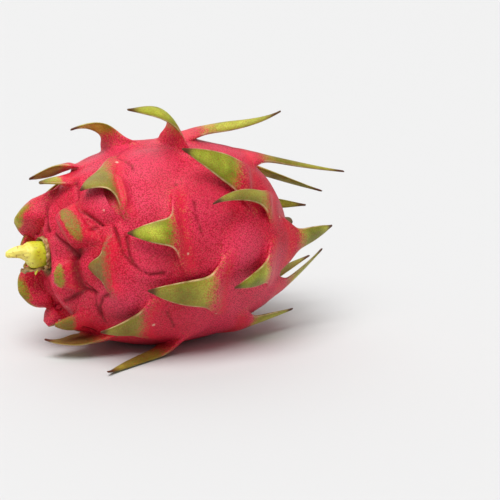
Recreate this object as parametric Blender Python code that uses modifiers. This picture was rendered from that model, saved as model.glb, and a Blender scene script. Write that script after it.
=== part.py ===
"""A whole dragon fruit lying on its side: rind with its scales, stump of the stem, dried flower remains."""
import math

import bmesh
import bpy
import numpy as np

# ---------------------------------------------------------------- sizes, metres and degrees
BODY_LENGTH = 0.100
BODY_DIAMETER = 0.080
BODY_FULLNESS = 2.15        # 2 is an ellipse, more is squarer
STEM_DIP = 1.5              # the stem end lies a little lower
REST_DEPTH = 0.0013         # how far the belly is flattened where it lies

SKIN_RINGS = 18             # rings of the cage from stem rim to flower rim
SKIN_SPOKES = 28            # points round each ring
SKIN_SMOOTHING = 1

SCALE_SIZE = 1.0            # length and width of every scale
SCALE_ROOT_THICKNESS = 0.0032
SCALE_TIP_THICKNESS = 0.0010
SCALE_TIP_WIDTH = 0.0012
PLUMP_THICKNESS = 0.0085    # root of a wholly plump scale
PLUMP_TIP_THICKNESS = 0.0024
SHOULDER_SHARE = 0.20       # the shoulders end this far along a scale
CUP = -0.12                 # edges stand this share of the half width above the middle
SCALE_BASE_SPANS = 2        # cage faces across the foot of a scale
RIDGE_HEIGHT = 0.0020       # how far the skin swells up to a scale
SHOULDER_SWEEP = 0.0035     # how far the ends of a scale's foot trail behind its middle
GROUND_GAP = 0.0006         # low scales stay this far off the surface

SOCKET_RADIUS = 0.0062
SOCKET_DEPTH = 0.0050
STEM_RIM = 9.5              # station of the socket's rim
NAVEL_RADIUS = 0.0085
NAVEL_DEPTH = 0.0080
FLOWER_RIM = 168.0          # station of the navel's rim
PIECE_GAP = 0.0004

STUB_LENGTH = 0.0105
TONGUE_LENGTH = 0.0110
REMNANT_HEIGHT = 0.0150

# Scales seen from the stem end round to the flower end. Station runs 0 at the stem to 180 at the flower,
# turn runs 0 on top, 90 on the -Y side, 180 below. Heading 0 points to the stem, 180 to the flower.
# name, station, turn, foot width mm, length mm, heading, lifts at foot, middle and tip, blade share of foot, and
# what is special: roll and bend in degrees, straight sides, plumpness, root thickness mm of a plump scale
SCALES = [
    ("stem_a", 22, 235, 15, 11, 0, (72, 88, 80), 0.92, dict(plump=1.0, fat=9)),
    ("stem_b", 19, 96, 13, 6.5, 5, (58, 25, 0), 0.88, dict(plump=0.35)),
    ("stem_c", 25, -18, 18, 12.5, 0, (74, 92, 78), 0.92, dict(plump=1.0, fat=12)),
    ("stem_d", 28, 184, 14, 11, 0, (60, 68, 60), 0.85, dict(plump=0.8)),
    ("stem_e", 27, 44, 15, 6.5, 14, (58, 34, 0), 0.92, dict(plump=0.45)),
    ("stem_f", 35, 149, 13, 10, 20, (45, 25, 0), 0.78, dict(plump=0.4)),
    ("stem_g", 39, 250, 14, 9, 0, (45, 30, 10), 0.80, dict(plump=0.4)),
    ("stem_h", 21, 284, 12, 6, 0, (40, 34, 20), 0.88, dict(plump=0.6)),
    ("stem_i", 39, 304, 10, 8, 0, (45, 30, 10), 0.75, dict(plump=0.3)),
    ("upper_a", 42, 0, 14, 10, -6, (42, 12, -5), 0.72, dict(plump=0.2)),
    ("upper_b", 53.5, -21.6, 20, 18.3, -18, (32, 19, 12), 0.68, dict(roll=16, bend=30, straight=0.1)),
    ("upper_c", 45.5, 86.9, 24, 9.6, 1, (54, -35, -19), 0.50, dict(roll=-5, bend=-4, straight=1.0)),
    ("upper_d", 50.5, 163.7, 26, 20.7, -12, (32, 29, -4), 0.67, dict(roll=-21, bend=39, straight=0.5)),
    ("upper_e", 59.4, 32, 34, 15.4, -13, (66, 20, -18), 0.60, dict(roll=22, bend=30, straight=0.7)),
    ("upper_f", 65.7, 124.2, 22, 18.1, 5, (25, 19, 0), 0.70, dict(roll=-2, straight=0.9)),
    ("upper_g", 60, 202, 20, 15, 10, (25, 10, 0), 0.50, {}),
    ("upper_h", 56, 236, 22, 17, 0, (30, 5, -15), 0.60, dict(straight=0.5)),
    ("upper_i", 62, 269, 18, 17, 0, (28, 5, -15), 0.58, dict(straight=0.4)),
    ("upper_j", 61, 303, 12, 12, 0, (28, 4, -14), 0.55, dict(straight=0.4)),
    ("belly_a", 74, -12, 22, 23.6, 16, (101, 24, -2), 0.43, dict(roll=15, bend=-4, straight=0.1)),
    ("belly_b", 79.2, 70.7, 34, 23.2, -1, (70, -10, -45), 0.35, dict(roll=-1, bend=-13, straight=0.2)),
    ("belly_c", 83.2, 150.7, 22, 40.6, -3, (39, 14, 1), 0.39, dict(roll=-16, bend=-44)),
    ("belly_d", 90.8, 14.1, 21, 33.7, 21, (122, 28, 11), 0.50, dict(roll=-23, bend=-19)),
    ("belly_e", 95, 104.6, 27, 31.6, -2, (16, -7, -2), 0.48, dict(roll=6, bend=-14)),
    ("belly_f", 88, 215, 25, 26, 0, (28, 8, -5), 0.48, {}),
    ("belly_g", 94, 256, 28, 26, 0, (32, 8, -14), 0.50, dict(straight=0.4)),
    ("belly_h", 90, 294, 20, 15, 0, (40, 20, 5), 0.52, {}),
    ("belly_i", 100, 322, 24, 22, 0, (18, 0, -18), 0.48, {}),
    ("lower_a", 103, -2.9, 18, 38.6, 171, (25, 13, 38), 0.34, dict(roll=48, bend=-20, straight=0.1)),
    ("lower_b", 117.3, 47.5, 23, 36.6, -20, (18, 5, 1), 0.66, dict(roll=-27, bend=10, straight=0.7)),
    ("lower_c", 123, 100, 20, 26, 0, (26, 2, -14), 0.50, dict(straight=0.3)),
    ("lower_d", 113, 145, 22, 28, 170, (12, 8, 5), 0.44, {}),
    ("lower_e", 114, 212, 22, 30, 180, (12, 8, 6), 0.44, {}),
    ("lower_f", 122, 255, 24, 30, 180, (18, 14, 12), 0.44, {}),
    ("lower_g", 112, 292, 22, 34, 180, (12, 10, 14), 0.38, {}),
    ("flower_a", 133, 8, 20, 46, 180, (22, 20, 24), 0.24, dict(roll=15)),
    ("flower_b", 127.2, 61.4, 16, 38.2, -20, (23, -6, -8), 0.43, dict(roll=5, bend=42, straight=0.3)),
    ("flower_c", 145, 92, 20, 30, 180, (30, 22, 15), 0.42, {}),
    ("flower_d", 140, 140, 20, 30, 180, (22, 14, 10), 0.42, {}),
    ("flower_e", 144, 188, 18, 26, 180, (25, 25, 28), 0.42, {}),
    ("flower_f", 145, 232, 20, 30, 180, (26, 20, 16), 0.42, {}),
    ("flower_g", 140, 282, 20, 34, 180, (26, 18, 18), 0.38, {}),
    ("flower_h", 138, 326, 20, 40, 180, (22, 14, 18), 0.32, {}),
]

NAME = "dragon_fruit"
CENTRE_HEIGHT = 0.5 * BODY_DIAMETER - REST_DEPTH


def clear_scene():
    for item in list(bpy.data.objects):
        bpy.data.objects.remove(item, do_unlink=True)


def make_collection(name):
    group = bpy.data.collections.new(name)
    bpy.context.scene.collection.children.link(group)
    return group


def make_material(name, colour, roughness):
    material = bpy.data.materials.new(name)
    material.use_nodes = True
    shader = material.node_tree.nodes["Principled BSDF"]
    shader.inputs["Base Color"].default_value = (*colour, 1.0)
    shader.inputs["Roughness"].default_value = roughness
    shader.inputs["Metallic"].default_value = 0.0
    material.diffuse_color = (*colour, 1.0)
    return material


def make_object(name, points, faces, material, group):
    mesh = bpy.data.meshes.new(name)
    mesh.from_pydata([tuple(p) for p in points], [], faces)
    shell = bmesh.new()
    shell.from_mesh(mesh)
    bmesh.ops.recalc_face_normals(shell, faces=shell.faces)
    shell.to_mesh(mesh)
    shell.free()
    mesh.materials.append(material)
    mesh.shade_smooth()
    thing = bpy.data.objects.new(name, mesh)
    group.objects.link(thing)
    return thing


def smooth_cage(thing, levels):
    soft = thing.modifiers.new("soft form", "SUBSURF")
    soft.levels = levels
    soft.render_levels = levels


# ---------------------------------------------------------------- the body's own surface
def power(value, exponent):
    return np.sign(value) * np.abs(value) ** exponent


def lay_down(points):
    """Turn points given along the fruit's axis into the lying fruit."""
    points = np.asarray(points, float)
    dip = math.radians(STEM_DIP)
    x = points[..., 0]
    z = points[..., 2]
    return np.stack(
        [math.cos(dip) * x - math.sin(dip) * z, points[..., 1], math.sin(dip) * x + math.cos(dip) * z + CENTRE_HEIGHT],
        axis=-1,
    )


def body_point(station, turn):
    along = -0.5 * BODY_LENGTH * power(np.cos(station), 2 / BODY_FULLNESS)
    out = 0.5 * BODY_DIAMETER * power(np.sin(station), 2 / BODY_FULLNESS)
    x, y, z = np.broadcast_arrays(along, -out * np.sin(turn), out * np.cos(turn))
    return lay_down(np.stack([x, y, z], axis=-1))


def unit(vectors):
    return vectors / np.linalg.norm(vectors, axis=-1, keepdims=True)


def skin_frame(station, turn):
    """Point, direction to the flower, direction of turn, outward normal and the two stretch factors."""
    step = 1e-3
    point = body_point(station, turn)
    to_flower = (body_point(station + step, turn) - body_point(station - step, turn)) / (2 * step)
    to_turn = (body_point(station, turn + step) - body_point(station, turn - step)) / (2 * step)
    stretch_station = np.linalg.norm(to_flower, axis=-1)
    stretch_turn = np.linalg.norm(to_turn, axis=-1)
    outward = unit(np.cross(to_turn, to_flower))
    return point, unit(to_flower), unit(to_turn), outward, stretch_station, stretch_turn


# ---------------------------------------------------------------- one scale
class Scale:
    def __init__(self, row):
        self.name, station, turn, foot, length, heading, lifts, self.blade, special = row
        self.station = math.radians(station)
        self.turn = math.radians(turn % 360)
        self.half_foot = 0.0005 * foot * SCALE_SIZE
        self.length = 0.001 * length * SCALE_SIZE
        self.forward = abs(heading) > 90
        self.lifts = [math.radians(a) for a in lifts]
        self.roll = math.radians(special.get("roll", 0))
        self.bend = math.radians(special.get("bend", 0))
        self.straight = special.get("straight", 0.0)
        self.plump = special.get("plump", 0.0)
        plump_root = 0.001 * special["fat"] if "fat" in special else PLUMP_THICKNESS
        self.root = SCALE_ROOT_THICKNESS + (plump_root - SCALE_ROOT_THICKNESS) * self.plump
        frame = skin_frame(self.station, self.turn)
        self.foot_point, to_flower, to_turn, self.outward, self.stretch_station, self.stretch_turn = frame
        angle = math.radians(heading)
        self.ahead = -math.cos(angle) * to_flower + math.sin(angle) * to_turn
        self.side = math.sin(angle) * to_flower + math.cos(angle) * to_turn
        self.to_flower = to_flower
        self.to_turn = to_turn
        self.point = self.foot_point + self.outward * RIDGE_HEIGHT

    def half_width(self, t):
        shoulder = max(0.0, 1 - t / SHOULDER_SHARE) ** 1.5
        leaf = max(0.0, 1 - t * t) ** 0.9
        triangle = (1 - t) ** 0.85
        rounded = max(0.0, 1 - t**2.4) ** 0.6
        form = leaf + (triangle - leaf) * self.straight
        form = form + (rounded - form) * self.plump
        width = self.half_foot * ((1 - self.blade) * shoulder + self.blade * form)
        return max(0.5 * SCALE_TIP_WIDTH * (1 + 4 * self.plump), width)

    def thickness(self, t):
        thin = SCALE_TIP_THICKNESS + (SCALE_ROOT_THICKNESS - SCALE_TIP_THICKNESS) * (1 - t) ** 1.5
        fleshy = PLUMP_TIP_THICKNESS + (self.root - PLUMP_TIP_THICKNESS) * max(0.0, 1 - t**1.4)
        return thin + (fleshy - thin) * self.plump

    def shares(self):
        """Where along the length the rings of the blade stand."""
        if self.length < 0.014:
            return (0.35, 1.0)
        if self.length < 0.026:
            return (0.20, 0.58, 1.0)
        return (0.16, 0.42, 0.72, 1.0)

    def lift(self, t):
        a, b, c = self.lifts
        return a * (1 - t) * (1 - 2 * t) + b * 4 * t * (1 - t) + c * t * (2 * t - 1)

    def frame(self, t):
        """Direction along the blade, direction across it and its outer side."""
        turned = self.bend * t
        ahead = math.cos(turned) * self.ahead + math.sin(turned) * self.side
        side = -math.sin(turned) * self.ahead + math.cos(turned) * self.side
        lift = self.lift(t)
        along = math.cos(lift) * ahead + math.sin(lift) * self.outward
        outer = math.cos(lift) * self.outward - math.sin(lift) * ahead
        rolled = self.roll * min(1.0, t / 0.4)
        return (
            along,
            math.cos(rolled) * side + math.sin(rolled) * outer,
            math.cos(rolled) * outer - math.sin(rolled) * side,
        )

    def spine(self, t):
        """Middle of the blade at share t of the length."""
        steps = 24
        place = self.point.copy()
        for k in range(steps):
            place = place + self.frame(t * (k + 0.5) / steps)[0] * self.length * t / steps
        return place

    def foot_cells(self, spans):
        """Station and turn of the foot's two rows of points, stem side first."""
        rows = []
        for edge in (-1, 1):
            row = []
            for k in range(spans + 1):
                u = 2 * k / spans - 1
                across = -u if self.forward else u
                step = self.side * across * self.half_foot - self.ahead * SHOULDER_SWEEP * u * u
                step = step + self.to_flower * edge * 0.5 * self.root
                row.append(
                    (
                        self.station + float(step @ self.to_flower) / self.stretch_station,
                        self.turn + float(step @ self.to_turn) / self.stretch_turn,
                    )
                )
            rows.append(row)
        return rows

    def ring(self, t, spans):
        """Two rows of points across the blade, stem side first."""
        place = self.spine(t)
        _, side, outer = self.frame(t)
        half = self.half_width(t)
        thick = self.thickness(t)
        hug = max(0.0, 1 - t / 0.5) / BODY_DIAMETER
        rows = []
        for face in (-1, 1):
            row = []
            for k in range(spans + 1):
                u = 2 * k / spans - 1
                across = -u if self.forward else u
                edge_thin = 1 - 0.35 * abs(u)
                point = place + side * across * half - self.outward * hug * (u * half) ** 2
                point = point + outer * CUP * min(1.0, 3 * t) * half * u * u
                point = point + outer * face * 0.5 * thick * edge_thin
                lower_side = face * outer[2] < 0
                point[2] = max(point[2], GROUND_GAP + (0 if lower_side else thick * edge_thin))
                row.append(point)
            rows.append(row)
        return rows[::-1] if self.forward else rows


# ---------------------------------------------------------------- the rind
def nearest_free(taken, ring, spoke, spans):
    """The free block of the cage nearest the wanted one."""
    best = None
    for dr in range(-2, 3):
        for ds in range(-3, 4):
            r = ring + dr
            if r < 1 or r + 1 > SKIN_RINGS - 1:
                continue
            cells = [(r + a, (spoke + ds + b) % SKIN_SPOKES) for a in (0, 1) for b in range(spans + 1)]
            if any(cell in taken for cell in cells):
                continue
            cost = dr * dr + ds * ds
            if best is None or cost < best[0]:
                best = (cost, r, (spoke + ds) % SKIN_SPOKES, cells)
    return best


def seat_scales(scales):
    """Give every scale its own strip of the cage and pull the strip to the scale's place."""
    low = math.radians(STEM_RIM)
    high = math.radians(FLOWER_RIM)
    ring_step = (high - low) / SKIN_RINGS
    spoke_step = 2 * math.pi / SKIN_SPOKES
    station = np.repeat((low + ring_step * np.arange(SKIN_RINGS + 1))[:, None], SKIN_SPOKES, axis=1)
    turn = np.repeat((spoke_step * np.arange(SKIN_SPOKES))[None, :], SKIN_RINGS + 1, axis=0)
    pull = np.zeros((SKIN_RINGS + 1, SKIN_SPOKES, 2))
    pinned = np.zeros((SKIN_RINGS + 1, SKIN_SPOKES), bool)
    pinned[0] = True
    pinned[-1] = True
    taken = set()
    strips = {}
    for scale in scales:
        ring = round((scale.station - low) / ring_step - 0.5)
        spoke = round(scale.turn / spoke_step - 0.5 * SCALE_BASE_SPANS)
        _, ring, spoke, cells = nearest_free(taken, ring, spoke, SCALE_BASE_SPANS)
        taken.update(cells)
        strips[scale.name] = (ring, spoke)
        for a, row in enumerate(scale.foot_cells(SCALE_BASE_SPANS)):
            for b, (s, t) in enumerate(row):
                r = ring + a
                c = (spoke + b) % SKIN_SPOKES
                away = (t - turn[r, c] + math.pi) % (2 * math.pi) - math.pi
                pull[r, c] = (s - station[r, c], away)
                pinned[r, c] = True
    held = pull.copy()
    for _ in range(400):
        soft = np.roll(pull, 1, axis=1) + np.roll(pull, -1, axis=1)
        soft[1:-1] += pull[2:] + pull[:-2]
        pull = np.where(pinned[..., None], held, soft / 4)
    return station + pull[..., 0], turn + pull[..., 1], strips


def swelling(station, turn, scales):
    """Height of the skin over the plain body: it swells gently up to the foot of each scale."""
    height = np.zeros(station.shape)
    for scale in scales:
        away = (turn - scale.turn + np.pi) % (2 * np.pi) - np.pi
        offset = (
            (station - scale.station)[..., None] * scale.stretch_station * scale.to_flower
            + away[..., None] * scale.stretch_turn * scale.to_turn
        )
        across = offset @ scale.side
        ahead = offset @ scale.ahead + SHOULDER_SWEEP * np.minimum(np.abs(across) / scale.half_foot, 1.4) ** 2
        rise = np.where(ahead < 0, np.exp(-((ahead / 0.0085) ** 2)), np.exp(-((ahead / 0.0035) ** 2)))
        height = np.maximum(height, rise * np.exp(-((across / (1.1 * scale.half_foot)) ** 4)))
    return height


def build_rind(scales, material, group):
    station, turn, strips = seat_scales(scales)
    points, _, _, outward, _, _ = skin_frame(station, turn)
    height = RIDGE_HEIGHT * swelling(station, turn, scales)
    underneath = np.clip((points[..., 2] - 0.002) / 0.006, 0, 1)
    skin = points + outward * (height * underneath)[..., None]
    vertices = [p for p in skin.reshape(-1, 3)]
    number = {(r, c): r * SKIN_SPOKES + c for r in range(SKIN_RINGS + 1) for c in range(SKIN_SPOKES)}
    faces = {}
    for r in range(SKIN_RINGS):
        for c in range(SKIN_SPOKES):
            d = (c + 1) % SKIN_SPOKES
            faces[(r, c)] = (number[r, c], number[r + 1, c], number[r + 1, d], number[r, d])
    blades = []
    for scale in scales:
        ring, spoke = strips[scale.name]
        columns = [(spoke + b) % SKIN_SPOKES for b in range(SCALE_BASE_SPANS + 1)]
        for c in columns[:-1]:
            del faces[(ring, c)]
        old = [[number[ring, c] for c in columns], [number[ring + 1, c] for c in columns]]
        for share in scale.shares():
            new = []
            for row in scale.ring(share, SCALE_BASE_SPANS):
                new.append(list(range(len(vertices), len(vertices) + len(row))))
                vertices.extend(row)
            loop_old = old[0] + old[1][::-1]
            loop_new = new[0] + new[1][::-1]
            for k in range(len(loop_old)):
                n = (k + 1) % len(loop_old)
                blades.append((loop_old[k], loop_new[k], loop_new[n], loop_old[n]))
            old = new
        for k in range(SCALE_BASE_SPANS):
            blades.append((old[0][k], old[1][k], old[1][k + 1], old[0][k + 1]))
    hollows = []
    for row, radius, depth, sign in (
        (0, SOCKET_RADIUS, SOCKET_DEPTH, -1),
        (SKIN_RINGS, NAVEL_RADIUS, NAVEL_DEPTH, 1),
    ):
        edge = [number[row, c] for c in range(SKIN_SPOKES)]
        for share_radius, share_depth in ((1.0, 0.35), (0.92, 0.95), (0.45, 1.0)):
            x = sign * (0.5 * BODY_LENGTH - depth * share_depth)
            circle = [
                (x, -radius * share_radius * math.sin(a), radius * share_radius * math.cos(a))
                for a in turn[row]
            ]
            new = list(range(len(vertices), len(vertices) + SKIN_SPOKES))
            vertices.extend(lay_down(circle))
            for c in range(SKIN_SPOKES):
                d = (c + 1) % SKIN_SPOKES
                quad = (edge[c], edge[d], new[d], new[c])
                hollows.append(quad if sign < 0 else quad[::-1])
            edge = new
        hollows.append(tuple(edge[::-1]) if sign < 0 else tuple(edge))
    rind = make_object("fruit", vertices, list(faces.values()) + blades + hollows, material, group)
    smooth_cage(rind, SKIN_SMOOTHING)
    return rind


def flatten_belly(rind, cutters):
    """The belly is pressed flat where the fruit lies."""
    size = 2 * BODY_LENGTH
    thick = 0.2 * BODY_LENGTH
    bpy.ops.mesh.primitive_cube_add(size=1, location=(0, 0, -0.5 * thick))
    block = bpy.context.active_object
    block.name = "ground_cutter"
    block.scale = (2 * size, size, thick)
    for owner in list(block.users_collection):
        owner.objects.unlink(block)
    cutters.objects.link(block)
    block.hide_render = True
    block.display_type = "WIRE"
    cut = rind.modifiers.new("flat where it lies", "BOOLEAN")
    cut.operation = "DIFFERENCE"
    cut.solver = "EXACT"
    cut.object = block


# ---------------------------------------------------------------- stem stump and flower remains
def ringed_form(name, rings, sides, material, group, levels):
    """A closed form through rings of (x, y, z centre, radius across, radius up)."""
    vertices = []
    faces = []
    for x, y, z, across, up in rings:
        for k in range(sides):
            a = 2 * math.pi * k / sides
            vertices.append((x, y - across * math.sin(a), z + up * math.cos(a)))
    for r in range(len(rings) - 1):
        for k in range(sides):
            n = (k + 1) % sides
            faces.append((r * sides + k, r * sides + n, (r + 1) * sides + n, (r + 1) * sides + k))
    faces.append(tuple(range(sides))[::-1])
    faces.append(tuple(range((len(rings) - 1) * sides, len(rings) * sides)))
    thing = make_object(name, lay_down(vertices), faces, material, group)
    smooth_cage(thing, levels)
    return thing


def build_stub(material, group):
    floor = -0.5 * BODY_LENGTH + SOCKET_DEPTH - PIECE_GAP - 0.0004
    radius = 0.72 * SOCKET_RADIUS
    end = floor - SOCKET_DEPTH - 0.5 * STUB_LENGTH
    tip = end - TONGUE_LENGTH
    rings = [
        (tip, 0, -0.0004, 0.0009, 0.0010),
        (tip + 0.30 * TONGUE_LENGTH, 0, 0.0003, 0.0018, 0.0018),
        (tip + 0.65 * TONGUE_LENGTH, 0, 0.0010, 0.0028, 0.0026),
        (end, 0, 0.0010, 0.90 * radius, 0.83 * radius),
        (end + 0.30 * STUB_LENGTH, 0, 0, 1.02 * radius, 1.02 * radius),
        (end + 0.60 * STUB_LENGTH, 0, 0, 1.00 * radius, 1.00 * radius),
        (floor, 0, 0, 0.80 * radius, 0.80 * radius),
    ]
    return ringed_form("stem_stub", rings, 12, material, group, 1)


def build_remnant(material, group):
    floor = 0.5 * BODY_LENGTH - NAVEL_DEPTH + PIECE_GAP + 0.0004
    radius = 0.55 * NAVEL_RADIUS
    rings = [
        (floor, 0, 0, 0.75 * radius, 0.75 * radius),
        (floor + 0.25 * REMNANT_HEIGHT, 0, 0, radius, radius),
        (floor + 0.55 * REMNANT_HEIGHT, 0.0004, 0, 0.75 * radius, 0.70 * radius),
        (floor + 0.80 * REMNANT_HEIGHT, 0.0010, 0.0004, 0.80 * radius, 0.45 * radius),
        (floor + REMNANT_HEIGHT, 0.0014, 0.0008, 0.45 * radius, 0.20 * radius),
    ]
    return ringed_form("flower_remnant", rings, 10, material, group, 1)


def main():
    clear_scene()
    group = make_collection(NAME)
    cutters = make_collection("cutters")
    cutters.hide_render = True
    rind_skin = make_material("rind_red", (0.56, 0.03, 0.07), 0.42)
    stem_flesh = make_material("stem_yellow", (0.62, 0.58, 0.16), 0.55)
    dry_flower = make_material("dried_flower", (0.10, 0.05, 0.02), 0.85)
    scales = [Scale(row) for row in SCALES]
    rind = build_rind(scales, rind_skin, group)
    flatten_belly(rind, cutters)
    build_stub(stem_flesh, group)
    build_remnant(dry_flower, group)


main()
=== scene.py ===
# %% [markdown]
# # A dragon fruit lying on a pale table
# The whole fruit is one swollen, waxy, pink-red body. Leaf-like scales grow out of it in a loose spiral. A
# torn yellow stump of stem sits in a hollow at one end, and the dried rest of the flower sits in a hollow
# at the other. This lesson starts from the engineering model of the same fruit, keeps its size and place,
# and makes each piece again with the shape and finish that a close look needs.

# %% Load the engineering model
import math

import bmesh
import bpy
import numpy as np
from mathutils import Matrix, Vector, noise


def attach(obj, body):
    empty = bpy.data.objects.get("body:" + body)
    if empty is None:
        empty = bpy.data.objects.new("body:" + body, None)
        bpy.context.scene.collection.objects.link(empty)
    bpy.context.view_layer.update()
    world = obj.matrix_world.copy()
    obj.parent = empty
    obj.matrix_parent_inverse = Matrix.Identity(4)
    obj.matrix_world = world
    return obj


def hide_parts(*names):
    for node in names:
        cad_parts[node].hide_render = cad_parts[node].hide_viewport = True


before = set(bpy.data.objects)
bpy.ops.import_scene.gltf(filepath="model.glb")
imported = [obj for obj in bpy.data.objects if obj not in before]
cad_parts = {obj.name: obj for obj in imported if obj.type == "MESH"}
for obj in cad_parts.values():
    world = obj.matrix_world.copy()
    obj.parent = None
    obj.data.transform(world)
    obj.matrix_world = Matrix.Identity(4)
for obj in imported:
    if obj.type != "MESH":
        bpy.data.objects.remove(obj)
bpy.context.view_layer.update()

# %% [markdown]
# ## Sizes
# The body is a slightly squared ellipsoid, longer than it is thick, and its stem end dips a little because
# the fruit lies on its side. These values are the same as in the engineering model, so both models fill the
# same space.

# %% Sizes of the body, in metres and degrees
BODY_LENGTH = 0.100
BODY_DIAMETER = 0.080
BODY_FULLNESS = 2.15
STEM_DIP = 1.5
REST_DEPTH = 0.0013
CENTRE_HEIGHT = 0.5 * BODY_DIAMETER - REST_DEPTH
STEM_RIM = 9.5
FLOWER_RIM = 168.0
SOCKET_RADIUS = 0.0060
SOCKET_DEPTH = 0.0050
STEM_RISE = 0.0022           # the stem stands a little above the axis
NAVEL_RADIUS = 0.0085
NAVEL_DEPTH = 0.0080
print("body length and thickness, mm:", 1000 * BODY_LENGTH, 1000 * BODY_DIAMETER)
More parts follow.
